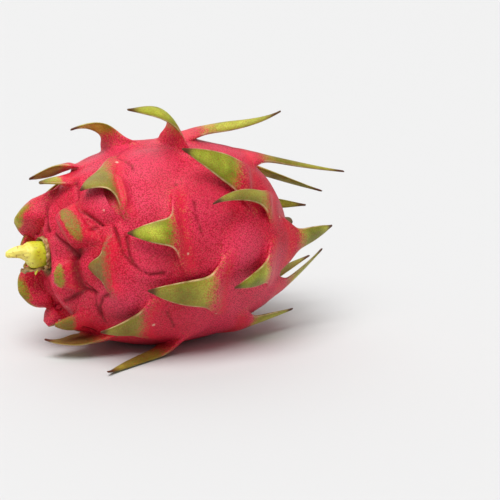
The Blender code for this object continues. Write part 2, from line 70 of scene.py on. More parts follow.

# %% [markdown]
# ## Where every scale grows
# A scale is a leaf that has grown together with the rind. Near the stem the scales are short and thick,
# round the belly they curl back towards the stem, and near the flower they are long, thin and point
# forward. Each one is a row in a list, because no two are alike: its place, the width of its foot, its
# length, where it points, how it lifts and curls, and how green it is.
#
# Not every number here was chosen by a person. In the rows upper_b to upper_f, belly_a to belly_e, lower_a,
# lower_b and flower_b, the place, sizes and curls came out of a search program that matched each blade's edges
# to a drawn outline, and were then rounded. The other rows were set one by one, and some of them started from
# a place that a helper program had worked out.

# %% The list of scales
# name, station, turn, foot width mm, length mm, heading, lifts at foot, middle and tip, blade share of foot,
# and what is special: roll and bend in degrees, green (1) or olive (0), plump (0 to 1), fat (root thickness
# in mm of a plump scale) and straight sides
SCALES = [
    ("stem_a", 20, 215, 19, 10, -30, (60, 50, 30), 0.95, dict(green=1.0, plump=0.9, fat=13.5)),
    ("stem_b", 22.5, 97, 12, 5.5, 5, (74, 86, 80), 0.92, dict(green=0.8, plump=1.0, fat=7.5)),
    ("stem_c", 24, -42, 20, 8.5, 0, (58, 60, 50), 0.96, dict(green=1.0, plump=0.95, fat=15)),
    ("stem_d", 33, 190, 11, 6, 0, (84, 96, 90), 0.90, dict(green=0.4, plump=1.0, fat=7.5)),
    ("stem_e", 33, 49, 18, 6.5, 12, (76, 90, 84), 0.94, dict(green=0.2, plump=1.0, fat=10.5)),
    ("stem_f", 37, 151, 14, 9, 20, (55, 40, 20), 0.80, dict(green=0.2, plump=0.5)),
    ("stem_g", 39, 250, 14, 9, 0, (45, 30, 10), 0.80, dict(green=0.6, plump=0.4)),
    ("stem_h", 21, 284, 12, 6, 0, (40, 34, 20), 0.88, dict(green=0.5, plump=0.6)),
    ("stem_i", 39, 304, 10, 8, 0, (45, 30, 10), 0.75, dict(green=0.6, plump=0.3)),
    ("upper_a", 42, -4, 14, 10, -6, (55, 42, 30), 0.72, dict(green=0.7, plump=0.25)),
    ("upper_b", 53.5, -21.6, 20, 18.3, -18, (32, 19, 12), 0.68,
     dict(green=1.0, roll=16, bend=30, straight=0.1)),
    ("upper_c", 45.5, 86.9, 24, 9.6, 1, (54, -35, -19), 0.50,
     dict(green=0.0, roll=-5, bend=-4, straight=1.0)),
    ("upper_d", 50.5, 163.7, 26, 20.7, -12, (32, 29, -4), 0.67,
     dict(green=0.4, roll=-21, bend=39, straight=0.5)),
    ("upper_e", 59.4, 32, 34, 15.4, -13, (63, 16, -20), 0.60,
     dict(green=0.3, roll=22, bend=30, straight=0.7)),
    ("upper_f", 65.7, 124.2, 22, 18.1, 5, (25, 19, 0), 0.70, dict(green=0.3, roll=-2, straight=0.9)),
    ("upper_g", 60, 202, 20, 15, 10, (25, 10, 0), 0.50, dict(green=0.6)),
    ("upper_h", 56, 236, 22, 17, 0, (30, 5, -15), 0.60, dict(green=0.5, straight=0.5)),
    ("upper_i", 62, 269, 18, 17, 0, (28, 5, -15), 0.58, dict(green=0.8, straight=0.4)),
    ("upper_j", 61, 303, 12, 12, 0, (28, 4, -14), 0.55, dict(green=0.6, straight=0.4)),
    ("belly_a", 74, -12, 22, 23.6, 16, (101, 24, -2), 0.43,
     dict(green=1.0, roll=15, bend=-4, straight=0.1)),
    ("belly_b", 79.2, 70.7, 34, 23.2, -1, (70, -10, -45), 0.35,
     dict(green=1.0, roll=-1, bend=-13, straight=0.2)),
    ("belly_c", 83.2, 150.7, 22, 40.6, -3, (39, 14, 1), 0.39, dict(green=0.6, roll=-16, bend=-44)),
    ("belly_d", 90.8, 14.1, 21, 33.7, 21, (122, 28, 11), 0.50, dict(green=0.95, roll=-23, bend=-19)),
    # belly_e's low green dulls it to olive brown as painted shade
    ("belly_e", 95, 104.6, 27, 31.6, -2, (16, -7, -2), 0.48, dict(green=0.5, roll=6, bend=-14)),
    ("belly_f", 88, 215, 25, 26, 0, (28, 8, -5), 0.48, dict(green=0.8)),
    ("belly_g", 94, 256, 28, 26, 0, (32, 8, -14), 0.50, dict(green=0.9, straight=0.4)),
    ("belly_h", 90, 294, 20, 15, 0, (40, 20, 5), 0.52, dict(green=0.9)),
    ("belly_i", 103, 322, 24, 20, 0, (10, -10, -22), 0.48, dict(green=0.9)),
    ("lower_a", 103, -2.9, 18, 38.6, 171, (25, 13, 38), 0.34,
     dict(green=0.8, roll=48, bend=-20, straight=0.1)),
    ("lower_b", 117.3, 47.5, 23, 36.6, -20, (18, 5, 1), 0.66,
     dict(green=1.0, roll=-27, bend=10, straight=0.7)),
    ("lower_c", 123, 100, 20, 26, 0, (26, 2, -14), 0.50, dict(green=0.9, straight=0.3)),
    ("lower_d", 113, 145, 22, 28, 170, (12, 8, 5), 0.44, dict(green=0.8)),
    ("lower_e", 114, 212, 22, 30, 180, (12, 8, 6), 0.44, dict(green=0.8)),
    ("lower_f", 122, 255, 24, 30, 180, (18, 14, 12), 0.44, dict(green=0.9)),
    ("lower_g", 112, 292, 22, 34, 180, (12, 10, 14), 0.38, dict(green=0.9)),
    ("flower_a", 133, 8, 20, 46, 180, (22, 20, 24), 0.24, dict(green=0.5, roll=15)),
    ("flower_b", 127.2, 61.4, 16, 38.2, -20, (23, -6, -8), 0.43,
     dict(green=0.4, roll=5, bend=42, straight=0.3)),
    ("flower_c", 145, 92, 20, 30, 180, (30, 22, 15), 0.42, dict(green=0.8)),
    ("flower_d", 140, 140, 20, 30, 180, (22, 14, 10), 0.42, dict(green=0.8)),
    ("flower_e", 144, 188, 18, 26, 180, (25, 25, 28), 0.42, dict(green=0.8)),
    ("flower_f", 145, 232, 20, 30, 180, (26, 20, 16), 0.42, dict(green=0.8)),
    ("flower_g", 140, 282, 20, 34, 180, (26, 18, 18), 0.38, dict(green=0.9)),
    ("flower_h", 138, 326, 20, 40, 180, (22, 14, 18), 0.32, dict(green=0.9)),
]
print("scales on the fruit:", len(SCALES))

# %% [markdown]
# ## The body's plain surface
# Every point of the rind has a station, from 0 at the stem to 180 degrees at the flower, and a turn round
# the fruit's axis. Working in station and turn makes it easy to say where a scale grows, and the same
# formula gives the outward direction there.

# %% Points and directions on the plain body
def power(value, exponent):
    return np.sign(value) * np.abs(value) ** exponent


def lay_down(points):
    points = np.asarray(points, float)
    dip = math.radians(STEM_DIP)
    x, y, z = points[..., 0], points[..., 1], points[..., 2]
    along = math.cos(dip) * x - math.sin(dip) * z
    up = math.sin(dip) * x + math.cos(dip) * z + CENTRE_HEIGHT
    return np.stack([along, y, up], axis=-1)


def body_point(station, turn):
    along = -0.5 * BODY_LENGTH * power(np.cos(station), 2 / BODY_FULLNESS)
    out = 0.5 * BODY_DIAMETER * power(np.sin(station), 2 / BODY_FULLNESS)
    x, y, z = np.broadcast_arrays(along, -out * np.sin(turn), out * np.cos(turn))
    return lay_down(np.stack([x, y, z], axis=-1))


def unit(vectors):
    return vectors / np.linalg.norm(vectors, axis=-1, keepdims=True)


def skin_frame(station, turn):
    step = 1e-3
    point = body_point(station, turn)
    to_flower = (body_point(station + step, turn) - body_point(station - step, turn)) / (2 * step)
    to_turn = (body_point(station, turn + step) - body_point(station, turn - step)) / (2 * step)
    outward = unit(np.cross(to_turn, to_flower))
    stretch_station = np.linalg.norm(to_flower, axis=-1)
    stretch_turn = np.linalg.norm(to_turn, axis=-1)
    return point, unit(to_flower), unit(to_turn), outward, stretch_station, stretch_turn


# %% [markdown]
# ## One scale
# A scale starts as a wide, low shoulder that hugs the body, narrows quickly and goes on as a pointed blade.
# It is made by carrying a flat ring of points along a curving line, so its width, thickness, lift and curl
# can all change on the way. That gives a real rim with two sides, which a flat leaf card could not.

# %% The shape of a scale
RIDGE_HEIGHT = 0.0020
ROOT_THICKNESS = 0.0032
TIP_THICKNESS = 0.0009
TIP_WIDTH = 0.0008
SHOULDER_SWEEP = 0.0035
SHOULDER_SHARE = 0.20       # the shoulders end this far along the scale
GROUND_GAP = 0.0006


class Scale:
    def __init__(self, row):
        self.name, station, turn, foot, length, heading, lifts, self.blade, special = row
        self.station = math.radians(station)
        self.turn = math.radians(turn % 360)
        self.half_foot = 0.0005 * foot
        self.length = 0.001 * length
        self.forward = abs(heading) > 90
        self.lifts = [math.radians(a) for a in lifts]
        self.roll = math.radians(special.get("roll", 0))
        self.bend = math.radians(special.get("bend", 0))
        self.cup = special.get("cup", -0.12)
        self.green = special.get("green", 0.8)
        self.plump = special.get("plump", 0.0)
        self.root = ROOT_THICKNESS + (0.001 * special.get("fat", 8.5) - ROOT_THICKNESS) * self.plump
        self.straight = special.get("straight", 0.0)
        point, to_flower, to_turn, self.outward, self.stretch_station, self.stretch_turn = skin_frame(
            self.station, self.turn
        )
        angle = math.radians(heading)
        self.ahead = -math.cos(angle) * to_flower + math.sin(angle) * to_turn
        self.side = math.sin(angle) * to_flower + math.cos(angle) * to_turn
        self.to_flower = to_flower
        self.to_turn = to_turn
        self.foot_point = point
        self.point = point + self.outward * RIDGE_HEIGHT

    def half_width(self, t):
        shoulder = max(0.0, 1 - t / SHOULDER_SHARE) ** 1.5
        leaf = max(0.0, 1 - t * t) ** 0.9
        triangle = (1 - t) ** 0.85
        rounded = max(0.0, 1 - t**2.4) ** 0.6
        form = leaf + (triangle - leaf) * self.straight
        form = form + (rounded - form) * self.plump
        width = self.half_foot * ((1 - self.blade) * shoulder + self.blade * form)
        return max(0.5 * TIP_WIDTH * (1 + 4 * self.plump), width)

    def thickness(self, t):
        thin = TIP_THICKNESS + (ROOT_THICKNESS - TIP_THICKNESS) * (1 - t) ** 2.2
        fleshy = 0.0024 + (self.root - 0.0024) * max(0.0, 1 - t**1.4)
        return thin + (fleshy - thin) * self.plump

    def lift(self, t):
        a, b, c = self.lifts
        return a * (1 - t) * (1 - 2 * t) + b * 4 * t * (1 - t) + c * t * (2 * t - 1)

    def frame(self, t):
        """Direction along the blade, direction across it and its outer side."""
        turned = self.bend * t
        ahead = math.cos(turned) * self.ahead + math.sin(turned) * self.side
        side = -math.sin(turned) * self.ahead + math.cos(turned) * self.side
        lift = self.lift(t)
        along = math.cos(lift) * ahead + math.sin(lift) * self.outward
        outer = math.cos(lift) * self.outward - math.sin(lift) * ahead
        rolled = self.roll * min(1.0, t / 0.4)
        return (
            along,
            math.cos(rolled) * side + math.sin(rolled) * outer,
            math.cos(rolled) * outer - math.sin(rolled) * side,
        )

    def spine(self, t):
        steps = 24
        place = self.point.copy()
        for k in range(steps):
            place = place + self.frame(t * (k + 0.5) / steps)[0] * self.length * t / steps
        return place

    def foot_cells(self, spans):
        rows = []
        for edge in (-1, 1):
            row = []
            for k in range(spans + 1):
                u = 2 * k / spans - 1
                across = -u if self.forward else u
                step = self.side * across * self.half_foot - self.ahead * SHOULDER_SWEEP * u * u
                step = step + self.to_flower * edge * 0.5 * self.root
                row.append(
                    (
                        self.station + float(step @ self.to_flower) / self.stretch_station,
                        self.turn + float(step @ self.to_turn) / self.stretch_turn,
                    )
                )
            rows.append(row)
        return rows

    def ring(self, t, spans):
        place = self.spine(t)
        _, side, outer = self.frame(t)
        half = self.half_width(t)
        thick = self.thickness(t)
        hug = max(0.0, 1 - t / 0.5) / BODY_DIAMETER
        rows = []
        for face in (-1, 1):
            row = []
            for k in range(spans + 1):
                u = 2 * k / spans - 1
                across = -u if self.forward else u
                edge_thin = 1 - (0.65 - 0.25 * self.plump) * u * u
                point = place + side * across * half - self.outward * hug * (u * half) ** 2
                point = point + outer * self.cup * min(1.0, 3 * t) * half * u * u
                point = point + outer * face * 0.5 * thick * edge_thin
                lower_side = face * outer[2] < 0
                point[2] = max(point[2], GROUND_GAP + (0 if lower_side else thick * edge_thin))
                row.append((point, u, face))
            rows.append(row)
        return rows[::-1] if self.forward else rows


scales = [Scale(row) for row in SCALES]
print("longest scale, mm:", max(1000 * s.length for s in scales))

# %% [markdown]
# ## Seating the scales in the cage
# The rind starts as a coarse cage of rings and spokes. Each scale claims a strip of cage faces near its
# place, the strip is pulled to the exact place, and the rest of the cage gives way softly, as skin does. So
# rind and scales come out as one grown surface, with no seam at the foot of a scale.

# %% Find free strips of cage faces
RINGS = 42
SPOKES = 64
LOW = math.radians(STEM_RIM)
HIGH = math.radians(FLOWER_RIM)
RING_STEP = (HIGH - LOW) / RINGS
SPOKE_STEP = 2 * math.pi / SPOKES


def nearest_free(taken, ring, spoke, spans):
    best = None
    for dr in range(-4, 5):
        for ds in range(-5, 6):
            r = ring + dr
            if r < 1 or r + 1 > RINGS - 1:
                continue
            cells = [(r + a, (spoke + ds + b) % SPOKES) for a in (0, 1) for b in range(spans + 1)]
            if any(cell in taken for cell in cells):
                continue
            cost = dr * dr + ds * ds
            if best is None or cost < best[0]:
                best = (cost, r, (spoke + ds) % SPOKES, cells)
    return best


print("cage:", RINGS, "rings and", SPOKES, "spokes")

# %% [markdown]
# ## Giving way softly
# Only the feet of the scales and the two end rings are held. Every other cage point takes the mean of its
# neighbours' shifts, over and over, until the pull is spread evenly. It is the same idea as stretching a
# net over pegs.

# %% Pull the strips into place
SOFTENING_ROUNDS = 600


def seat_scales(scales):
    station = np.repeat((LOW + RING_STEP * np.arange(RINGS + 1))[:, None], SPOKES, axis=1)
    turn = np.repeat((SPOKE_STEP * np.arange(SPOKES))[None, :], RINGS + 1, axis=0)
    pull = np.zeros((RINGS + 1, SPOKES, 2))
    pinned = np.zeros((RINGS + 1, SPOKES), bool)
    pinned[0] = True
    pinned[-1] = True
    taken = set()
    worst = 0
    for scale in scales:
        foot_turn = 2 * scale.half_foot / scale.stretch_turn
        scale.spans = int(min(8, max(4, round(foot_turn / SPOKE_STEP))))
        ring = round((scale.station - LOW) / RING_STEP - 0.5)
        spoke = round(scale.turn / SPOKE_STEP - 0.5 * scale.spans)
        cost, scale.cage_ring, scale.cage_spoke, cells = nearest_free(taken, ring, spoke, scale.spans)
        worst = max(worst, cost)
        taken.update(cells)
        for a, row in enumerate(scale.foot_cells(scale.spans)):
            for b, (s, t) in enumerate(row):
                r = scale.cage_ring + a
                c = (scale.cage_spoke + b) % SPOKES
                away = (t - turn[r, c] + math.pi) % (2 * math.pi) - math.pi
                pull[r, c] = (s - station[r, c], away)
                pinned[r, c] = True
    held = pull.copy()
    for _ in range(SOFTENING_ROUNDS):
        soft = np.roll(pull, 1, axis=1) + np.roll(pull, -1, axis=1)
        soft[1:-1] += pull[2:] + pull[:-2]
        pull = np.where(pinned[..., None], held, soft / 4)
    print("largest shift of a strip in the cage:", round(math.sqrt(worst), 1), "cells")
    return station + pull[..., 0], turn + pull[..., 1]


cage_station, cage_turn = seat_scales(scales)

# %% [markdown]
# ## Swellings of the skin
# The skin rises gently to the foot of each scale and drops away sharply in front of it, like a wave about
# to break. Both sides are bell curves, a long one behind the foot and a short one in front. The rise is
# part of the cage. The pillows and creases come later, on the fine mesh.

# %% Height of the skin at each scale's foot
REACH_BEHIND = 0.0085
REACH_IN_FRONT = 0.0026


def local_offsets(points, scale):
    offset = points - scale.foot_point
    return offset @ scale.ahead, offset @ scale.side, offset @ scale.outward


def swelling(points):
    height = np.zeros(points.shape[:-1])
    for scale in scales:
        ahead, across, above = local_offsets(points, scale)
        ahead = ahead + SHOULDER_SWEEP * np.minimum(across / scale.half_foot, 1.4) ** 2
        reach = np.where(ahead < 0, REACH_BEHIND, REACH_IN_FRONT)
        rise = np.exp(-((ahead / reach) ** 2))
        near = np.exp(-((across / (1.1 * scale.half_foot)) ** 4)) * (above > -0.03)
        height = np.maximum(height, rise * near)
    return height


skin_points = skin_frame(cage_station, cage_turn)[0]
print("share of the skin that swells:", round(float((swelling(skin_points) > 0.5).mean()), 2))

# %% [markdown]
# ## Drawing the scales out
# A blade is made as a plant makes it, out of the skin itself. The claimed faces are left open, and rings of
# points are added along the blade's path, each joined to the one before. Every point also gets values that
# say how far up the blade it lies, how far across, and on which face. The colours use them later.

# %% Draw one scale out of its strip
LAYERS = ("blade", "across", "outer", "green", "plump", "hollow")
RING_SHARES = (0.05, 0.13, 0.24, 0.40, 0.60, 0.80, 0.94, 1.0)


def columns_of(scale, count):
    return [(scale.cage_spoke + b) % SPOKES for b in range(count)]


def bridge(cage, old, new):
    """Faces between two closed rows of vertices."""
    for k in range(len(old)):
        n = (k + 1) % len(old)
        cage.faces.new((old[k], new[k], new[n], old[n]))


def draw_out(cage, grid, layers, scale):
    columns = columns_of(scale, scale.spans + 1)
    old = [[grid[scale.cage_ring + a][c] for c in columns] for a in (0, 1)]
    for row in old:
        for k, vert in enumerate(row):
            vert[layers["green"]] = scale.green
            vert[layers["plump"]] = scale.plump
            vert[layers["across"]] = 2 * k / scale.spans - 1
    for share in RING_SHARES:
        new = []
        for row in scale.ring(share, scale.spans):
            verts = []
            for point, u, face in row:
                vert = cage.verts.new(point)
                vert[layers["blade"]] = share
                vert[layers["across"]] = u
                vert[layers["outer"]] = face
                vert[layers["green"]] = scale.green
                vert[layers["plump"]] = scale.plump
                verts.append(vert)
            new.append(verts)
        bridge(cage, old[0] + old[1][::-1], new[0] + new[1][::-1])
        old = new
    for k in range(scale.spans):
        cage.faces.new((old[0][k], old[1][k], old[1][k + 1], old[0][k + 1]))


print("rings of points along each blade:", len(RING_SHARES))

# %% [markdown]
# ## Socket and navel
# The stem sits in a socket, and the flower left a wider hollow, the navel. Both are made by carrying the
# end ring of the cage inward in a few steps, so their walls are part of the rind.

# %% Sink the hollow at one end
HOLLOW_STEPS = ((1.0, 0.35), (0.92, 0.95), (0.45, 1.0))   # share of radius, share of depth


def sink_hollow(cage, layers, edge, turns, radius, depth, sign, rise):
    for share_radius, share_depth in HOLLOW_STEPS:
        x = sign * (0.5 * BODY_LENGTH - depth * share_depth)
        r = radius * share_radius
        circle = lay_down([(x, -r * math.sin(a), r * math.cos(a) + rise) for a in turns])
        new = [cage.verts.new(p) for p in circle]
        for vert in new:
            vert[layers["hollow"]] = sign
        bridge(cage, new, edge)
        edge = new
    cage.faces.new(edge)


print("socket and navel radius, mm:", 1000 * SOCKET_RADIUS, 1000 * NAVEL_RADIUS)

# %% [markdown]
# ## The whole rind
# The cage, the blades and the hollows make one closed coarse mesh. A Subdivision Surface then rounds it.
# Two levels are enough to carry the folds that come next.

# %% Build the cage and soften it
def build_cage():
    points, _, _, outward, _, _ = skin_frame(cage_station, cage_turn)
    height = RIDGE_HEIGHT * swelling(points)
    free_of_ground = np.clip((points[..., 2] - 0.002) / 0.006, 0, 1)
    skin = points + outward * (height * free_of_ground)[..., None]
    cage = bmesh.new()
    layers = {name: cage.verts.layers.float.new(name) for name in LAYERS}
    grid = [[cage.verts.new(skin[r, c]) for c in range(SPOKES)] for r in range(RINGS + 1)]
    claimed = {(scale.cage_ring, c) for scale in scales for c in columns_of(scale, scale.spans)}
    for r in range(RINGS):
        for c in range(SPOKES):
            if (r, c) not in claimed:
                d = (c + 1) % SPOKES
                cage.faces.new((grid[r][c], grid[r + 1][c], grid[r + 1][d], grid[r][d]))
    for scale in scales:
        draw_out(cage, grid, layers, scale)
    sink_hollow(cage, layers, grid[0], cage_turn[0], SOCKET_RADIUS, SOCKET_DEPTH, -1, STEM_RISE)
    sink_hollow(cage, layers, grid[-1], cage_turn[-1], NAVEL_RADIUS, NAVEL_DEPTH, 1, 0.0)
    bmesh.ops.recalc_face_normals(cage, faces=cage.faces)
    mesh = bpy.data.meshes.new("rind cage")
    cage.to_mesh(mesh)
    cage.free()
    return mesh


def soften(mesh, levels):
    """The mesh after a Subdivision Surface of that many levels, with its attributes."""
    thing = bpy.data.objects.new("softening", mesh)
    bpy.context.scene.collection.objects.link(thing)
    soft = thing.modifiers.new("soft form", "SUBSURF")
    soft.levels = levels
    soft.render_levels = levels
    done = bpy.data.meshes.new_from_object(thing.evaluated_get(bpy.context.evaluated_depsgraph_get()))
    bpy.data.objects.remove(thing)
    return done


rind_mesh = soften(build_cage(), 2)
print("rind faces:", len(rind_mesh.polygons))

# %% [markdown]
# ## The mesh as arrays
# The rind now has tens of thousands of points. Moving them one by one in Python would be slow, so the
# points, their outward directions and their values are read into arrays, worked on all at once, and written
# back.

# %% Read and write the mesh as arrays
def read_points(mesh):
    flat = np.empty(3 * len(mesh.vertices))
    mesh.vertices.foreach_get("co", flat)
    return flat.reshape(-1, 3)


def read_normals(mesh):
    flat = np.empty(3 * len(mesh.vertices))
    mesh.vertices.foreach_get("normal", flat)
    return flat.reshape(-1, 3)


def read_layer(mesh, name):
    flat = np.empty(len(mesh.vertices))
    mesh.attributes[name].data.foreach_get("value", flat)
    return flat


def write_layer(mesh, name, values):
    if name not in mesh.attributes:
        mesh.attributes.new(name, "FLOAT", "POINT")
    mesh.attributes[name].data.foreach_set("value", np.asarray(values, np.float32))


def write_points(mesh, points):
    mesh.vertices.foreach_set("co", points.ravel())
    mesh.update()


def noise_at(points, size, seed):
    """Smooth noise from -1 to 1 with bumps of about the given size in metres."""
    shift = Vector((seed * 17.3, seed * 5.1, seed * 11.7))
    return np.array([noise.noise(Vector(p) / size + shift) for p in points])


def ramp(value, low, high):
    share = np.clip((value - low) / (high - low), 0, 1)
    return share * share * (3 - 2 * share)


print("points to work on:", len(rind_mesh.vertices))

# %% [markdown]
# ## Pillows
# Under each larger scale, on the side it points to, the skin bulges like a small pillow. Each is a round
# bump with its own place, radius and height, so the list can be read like the list of scales.

# %% The pillows
# name, station, turn, radius mm, height mm
PILLOWS = [
    ("upper_e", 51.5, 38, 10.5, 4.4),
    ("belly_b", 66, 83, 10.0, 1.3),
    ("upper_f", 50, 114, 9.0, 1.2),
    ("lower_b", 95, 52, 13.0, 1.2),
    ("belly_e", 86, 127, 12.0, 1.1),
    ("belly_d", 80, 24, 11.0, 1.0),
    ("upper_i", 50, 284, 8.5, 1.3),
    ("upper_h", 46, 250, 7.5, 1.2),
    ("belly_g", 80, 268, 10.0, 1.3),
    ("belly_h", 70, 304, 9.0, 1.3),
    ("belly_f", 76, 228, 9.5, 1.2),
    ("belly_i", 86, 334, 10.0, 1.1),
    ("lower_c", 108, 84, 10.0, 1.2),
    ("lower_f", 108, 238, 10.0, 1.2),
    ("lower_g", 108, 310, 10.0, 1.2),
]
print("pillows:", len(PILLOWS))

# %% [markdown]
# ## Furrows
# Furrows run along the far side of a pillow, between two scales, and as small wrinkles where the skin is
# gathered towards the stem. A furrow is a line of a few places on the skin, with a width and a depth. Most of
# these places were worked out by a helper program from drawn lines, and were not chosen one by one.

# %% The furrows
# name, width mm, depth mm, and (station, turn) of each place along the line
FURROWS = [
    ("upper_e_pillow", 0.8, 1.5, [(46, 7), (43, 14), (41, 20), (39, 32), (39, 40), (43, 49), (47, 57)]),
    ("upper_e_wrinkle", 0.5, 0.7, [(34, 24), (37, 40), (41, 54)]),
    ("stem_e_wrinkle", 0.5, 0.7, [(34, 37), (37, 50), (39, 58)]),
    ("stem_c_side", 1.6, 1.6, [(32, -22), (26, -12), (20, -1), (15, 8)]),
    ("belly_a_wrinkle", 0.5, 0.5, [(66, 11), (69, 18), (70, 25)]),
    ("stem_b_side", 1.0, 1.0, [(14, 157), (23, 159), (32, 168)]),
    ("upper_c_low", 0.8, 0.8, [(34, 103), (38, 108), (40, 114), (41, 123), (45, 132)]),
    ("belly_b_arc", 0.8, 0.9, [(52, 60), (53, 67), (54, 78), (58, 86), (65, 92), (72, 92)]),
    ("belly_b_pillow", 0.9, 0.8, [(57, 68), (57, 74), (57, 80), (59, 86), (62, 90), (66, 92), (71, 92)]),
    ("lower_b_crease", 0.9, 0.7, [(88, 56), (87, 63), (88, 68), (89, 74)]),
    ("belly_e_crease", 0.9, 0.6, [(74, 116), (77, 123), (79, 128)]),
    ("upper_c_valley", 3.0, 1.4, [(30, 70), (29, 82), (30, 96), (33, 110)]),
    ("upper_f_pillow", 1.0, 0.9, [(48, 105), (44, 112), (43, 122), (45, 130), (49, 138)]),
    ("belly_a_crease", 0.8, 0.6, [(68, 10), (72, 4), (75, 3)]),
    ("belly_d_mark", 0.8, 0.6, [(69, 20), (70, 24), (70, 28)]),
    ("lower_b_mark", 0.7, 0.6, [(80, 45), (82, 45), (84, 44)]),
    ("stem_e_fold", 1.6, 1.3, [(19, 22), (20, 50), (24, 66), (29, 76)]),
    ("stem_b_fold", 1.4, 1.0, [(21, 82), (22, 98), (21, 117), (27, 114)]),
    ("low_fold", 1.4, 1.1, [(25, 142), (29, 124), (35, 111), (40, 110)]),
    ("mid_fold", 1.3, 0.9, [(35, 63), (39, 58), (44, 57)]),
    ("lower_fold", 1.2, 0.8, [(36, 160), (40, 152), (47, 154)]),
    ("upper_i_pillow", 0.9, 0.9, [(40, 268), (38, 276), (38, 286), (41, 296), (46, 302)]),
    ("upper_h_pillow", 0.9, 0.9, [(38, 238), (35, 246), (35, 256), (39, 264)]),
    ("belly_g_pillow", 0.9, 0.9, [(70, 252), (66, 260), (66, 270), (69, 278), (75, 284)]),
    ("belly_h_pillow", 0.9, 0.8, [(60, 292), (58, 300), (58, 308), (62, 316)]),
    ("belly_f_pillow", 0.9, 0.8, [(66, 216), (64, 224), (64, 234), (68, 242)]),
    ("lower_f_pillow", 0.9, 0.8, [(100, 226), (98, 234), (98, 244), (102, 252)]),
]
FAR_AWAY = 1.0
ABOVE_SKIN = 0.008           # a furrow leaves blades alone that stand higher than this


def distance_to_furrow(points, line):
    """Distance of each point from a line of (station, turn), measured along the skin."""
    frames = [skin_frame(math.radians(s), math.radians(t)) for s, t in line]
    nearest = np.full(len(points), FAR_AWAY)
    for start, end in zip(frames, frames[1:]):
        along = end[0] - start[0]
        share = np.clip((points - start[0]) @ along / (along @ along), 0, 1)
        away = points - start[0] - share[:, None] * along
        above = away @ start[3]
        away = np.linalg.norm(away - above[:, None] * start[3], axis=1)
        nearest = np.minimum(nearest, np.where(np.abs(above) < ABOVE_SKIN, away, FAR_AWAY))
    return nearest


print("furrows:", len(FURROWS))

# %% [markdown]
# ## Folds round the stem
# Where the fruit narrows to its stem the skin is gathered, like cloth in a drawstring. A cosine round the
# axis gives the folds, and a little noise lets them wander.

# %% The gathered skin
FOLDS = 7


def pucker(points):
    """Folds that gather the skin round the stem."""
    local = points - body_point(0.0, 0.0)
    turn = np.arctan2(-local[:, 1], local[:, 2])
    reach = np.hypot(local[:, 1], local[:, 2])
    wander = noise_at(points, 0.012, 9)
    folds = 0.5 + 0.5 * np.cos(FOLDS * turn + 2.2 * wander + 60 * reach)
    return (folds - 0.5) * ramp(reach, 0.007, 0.012) * (1 - ramp(reach, 0.016, 0.030)) * (local[:, 0] < 0.03)


print("folds round the stem:", FOLDS)

# %% [markdown]
# ## Moving the skin
# Every point is now moved a little along its own outward direction, by the sum of slow waves, folds,
# pillows and furrows. The waves keep the body from looking turned on a lathe. It is real geometry, so it
# also shows in the outline. Blades, hollows and the flat spot on the table stay as they are.

# %% Measure where the skin may move
rind_points = read_points(rind_mesh)
rind_normals = read_normals(rind_mesh)
blade = read_layer(rind_mesh, "blade")
across = np.abs(read_layer(rind_mesh, "across"))
hollow = read_layer(rind_mesh, "hollow")
skin = 1 - ramp(blade, 0.0, 0.06)
skin_here = skin * (1 - ramp(np.abs(hollow), 0.0, 0.5))
free_of_ground = ramp(rind_points[:, 2], 0.0025, 0.010)
wobble = noise_at(rind_points, 0.007, 3)
print("points that may move:", int((skin_here * free_of_ground > 0.01).sum()))

# %% Add up the relief and move the points
relief = 0.0011 * noise_at(rind_points, 0.020, 1) + 0.0003 * noise_at(rind_points, 0.008, 2)
relief = relief + 0.0026 * pucker(rind_points)
# mask of the furrows, where a deep red is painted on as shade
furrow_shade = np.zeros(len(rind_points))
crest = np.zeros(len(rind_points))
# mask of the pillows, where a paler pink is painted on as a highlight
pillow_highlight = np.zeros(len(rind_points))
for scale in scales:
    ahead, side, above = local_offsets(rind_points, scale)
    ahead = ahead + SHOULDER_SWEEP * np.minimum(np.abs(side) / scale.half_foot, 1.4) ** 2 + 0.0006 * wobble
    foot = (1 - ramp(np.abs(side) / scale.half_foot, 0.60, 1.15)) * (above > -0.02)
    crest = np.maximum(crest, foot * np.exp(-(((ahead + 0.0012) / 0.0026) ** 2)))
for _, station, turn, radius, height in PILLOWS:
    centre, to_flower, to_turn, outward, _, _ = skin_frame(math.radians(station), math.radians(turn))
    offset = rind_points - centre
    toward_stem = -(offset @ to_flower)
    toward_turn = offset @ to_turn
    share = np.hypot(toward_stem, toward_turn) / (0.001 * radius) + 0.10 * wobble
    near = (offset @ outward > -0.02) & (share < 1.6)
    bump = np.where(near, np.clip(1 - share**2, 0, 1) ** 0.8, 0)
    relief = relief + 0.001 * height * bump
    pillow_highlight = np.maximum(pillow_highlight, bump)
for _, width, depth, line in FURROWS:
    away = distance_to_furrow(rind_points, line) + 0.0004 * wobble
    groove = np.exp(-((away / (0.0006 * width)) ** 2))
    relief = relief - 0.001 * depth * groove
    furrow_shade = np.maximum(furrow_shade, groove)
shift = relief * skin_here * free_of_ground
rind_points = rind_points + rind_normals * shift[:, None]
rind_points[:, 2] = np.maximum(rind_points[:, 2], 0.0)
write_points(rind_mesh, rind_points)
print("relief from", round(1000 * shift.min(), 2), "to", round(1000 * shift.max(), 2), "mm")
